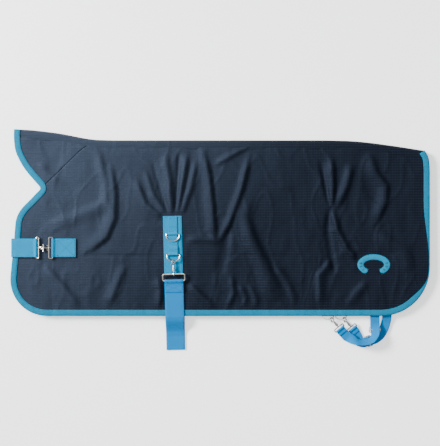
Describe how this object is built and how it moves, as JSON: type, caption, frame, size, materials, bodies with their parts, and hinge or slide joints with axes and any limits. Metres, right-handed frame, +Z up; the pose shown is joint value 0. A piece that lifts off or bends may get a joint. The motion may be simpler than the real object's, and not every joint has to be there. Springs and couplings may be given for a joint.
{
  "type": "turnout rug",
  "caption": "Pony turnout rug folded along its spine, with bound edges, a hooked chest strap, a belly strap on a snap and D-rings, and clipped leg straps.",
  "frame": {"origin": "middle of the folded rug's box on the floor it lies on", "axes": "+X towards the tail, +Y from the hem to the spine, +Z up out of the near side"},
  "size_m": [1.092, 0.577, 0.0351],
  "materials": {
    "shell": "coated ripstop weave, soft sheen",
    "fill": "matte wadding",
    "lining": "plain nylon weave, slight sheen",
    "binding": "ribbed woven tape, matte",
    "webbing": "ribbed polypropylene webbing, slight sheen",
    "fittings": "polished nickel plate",
    "emblem": "satin stitch embroidery"
  },
  "bodies": {
    "off_half": {"off_body_shell": "shell", "off_collar_shell": "shell", "off_fill": "fill", "off_lining": "lining", "off_binding": "binding", "spine_seam": "lining", "chest_strap_root": "webbing", "belly_strap_root": "webbing", "off_leg_tab": "webbing", "off_leg_d_ring": "fittings"},
    "near_half": {"near_body_shell": "shell", "near_collar_shell": "shell", "near_fill": "fill", "near_lining": "lining", "near_binding": "binding", "near_chest_patch": "webbing", "chest_catch": "fittings", "belly_patch": "webbing", "d_ring_tape": "webbing", "lower_d_ring": "fittings", "near_leg_tab": "webbing", "near_leg_d_ring": "fittings", "emblem": "emblem"},
    "chest_strap": {"chest_strap": "webbing"},
    "chest_hook": {"chest_hook": "fittings"},
    "upper_d_ring": {"upper_d_ring": "fittings"},
    "belly_strap": {"belly_strap": "webbing"},
    "belly_ring": {"belly_ring": "fittings"},
    "belly_swivel": {"belly_snap_swivel": "fittings"},
    "belly_snap": {"belly_snap_hook": "fittings"},
    "belly_gate": {"belly_snap_gate": "fittings"},
    "near_leg_strap": {"near_leg_strap": "webbing", "near_leg_snap_swivel": "fittings"},
    "near_leg_slider": {"near_leg_slider": "fittings"},
    "near_leg_snap": {"near_leg_snap_hook": "fittings"},
    "near_leg_gate": {"near_leg_snap_gate": "fittings"},
    "off_leg_strap": {"off_leg_strap": "webbing", "off_leg_snap_swivel": "fittings"},
    "off_leg_slider": {"off_leg_slider": "fittings"},
    "off_leg_snap": {"off_leg_snap_hook": "fittings"},
    "off_leg_gate": {"off_leg_snap_gate": "fittings"}
  },
  "joints": [
    {"name": "spine_fold", "type": "hinge", "parent": "off_half", "child": "near_half", "pos_m": [0.00966, 0.2701, 0.0107], "axis": [-0.9994, 0.0355, 0], "range_deg": [0, 165]},
    {"name": "chest_strap_swing", "type": "hinge", "parent": "off_half", "child": "chest_strap", "pos_m": [-0.54268, -0.0205, 0.01955], "axis": [0, -1, 0], "range_deg": [0, 170]},
    {"name": "chest_hook_swing", "type": "hinge", "parent": "chest_strap", "child": "chest_hook", "pos_m": [-0.4774, -0.0205, 0.0252], "axis": [0, -1, 0], "range_deg": [0, 150]},
    {"name": "upper_d_ring_swing", "type": "hinge", "parent": "near_half", "child": "upper_d_ring", "pos_m": [-0.12285, 0.01551, 0.02305], "axis": [-0.9997, -0.0244, 0], "range_deg": [0, 165]},
    {"name": "belly_strap_swing", "type": "hinge", "parent": "off_half", "child": "belly_strap", "pos_m": [-0.11544, -0.2879, 0.00175], "axis": [0.9997, 0.0244, 0], "range_deg": [0, 160]},
    {"name": "belly_ring_swing", "type": "hinge", "parent": "belly_strap", "child": "belly_ring", "pos_m": [-0.11988, -0.10595, 0.0257], "axis": [0.9997, 0.0244, 0], "range_deg": [0, 110]},
    {"name": "belly_swivel_swing", "type": "hinge", "parent": "belly_ring", "child": "belly_swivel", "pos_m": [-0.12032, -0.08824, 0.0289], "axis": [0.9997, 0.0244, 0], "range_deg": [0, 75]},
    {"name": "belly_snap_turn", "type": "hinge", "parent": "belly_swivel", "child": "belly_snap", "pos_m": [-0.12106, -0.05775, 0.0289], "axis": [-0.0244, 0.9997, 0], "range_deg": [0, 90]},
    {"name": "belly_gate_press", "type": "hinge", "parent": "belly_snap", "child": "belly_gate", "pos_m": [-0.12364, -0.06521, 0.03166], "axis": [-0.7069, -0.0173, -0.7071], "range_deg": [0, 15], "stiffness_Nm_per_rad": 0.02, "springref_deg": -8.59},
    {"name": "near_leg_swing", "type": "hinge", "parent": "near_half", "child": "near_leg_strap", "pos_m": [0.404, -0.1715, 0.0118], "axis": [0, 0, 1], "range_deg": [0, 30]},
    {"name": "near_slider_slide", "type": "slide", "parent": "near_leg_strap", "child": "near_leg_slider", "axis": [0, 1, 0], "range_m": [0, 0.012]},
    {"name": "near_snap_turn", "type": "hinge", "parent": "near_leg_strap", "child": "near_leg_snap", "pos_m": [0.2918, -0.20701, 0.01586], "axis": [-0.6428, 0.766, 0], "range_deg": [-70, 0]},
    {"name": "near_gate_press", "type": "hinge", "parent": "near_leg_snap", "child": "near_leg_gate", "pos_m": [0.29445, -0.21445, 0.0131], "axis": [0.5417, 0.4545, -0.7071], "range_deg": [0, 15], "stiffness_Nm_per_rad": 0.02, "springref_deg": -8.59},
    {"name": "off_leg_swing", "type": "hinge", "parent": "off_half", "child": "off_leg_strap", "pos_m": [0.436, -0.1715, 0.0096], "axis": [0, 0, 1], "range_deg": [0, 25]},
    {"name": "off_slider_slide", "type": "slide", "parent": "off_leg_strap", "child": "off_leg_slider", "axis": [0.9511, 0.309, 0], "range_m": [-0.003, 0.007]},
    {"name": "off_snap_turn", "type": "hinge", "parent": "off_leg_strap", "child": "off_leg_snap", "pos_m": [0.3258, -0.20738, 0.00632], "axis": [-0.6428, 0.766, 0], "range_deg": [0, 70]},
    {"name": "off_gate_press", "type": "hinge", "parent": "off_leg_snap", "child": "off_leg_gate", "pos_m": [0.32845, -0.21482, 0.00907], "axis": [-0.5417, -0.4545, -0.7071], "range_deg": [0, 15], "stiffness_Nm_per_rad": 0.02, "springref_deg": -8.59}
  ]
}
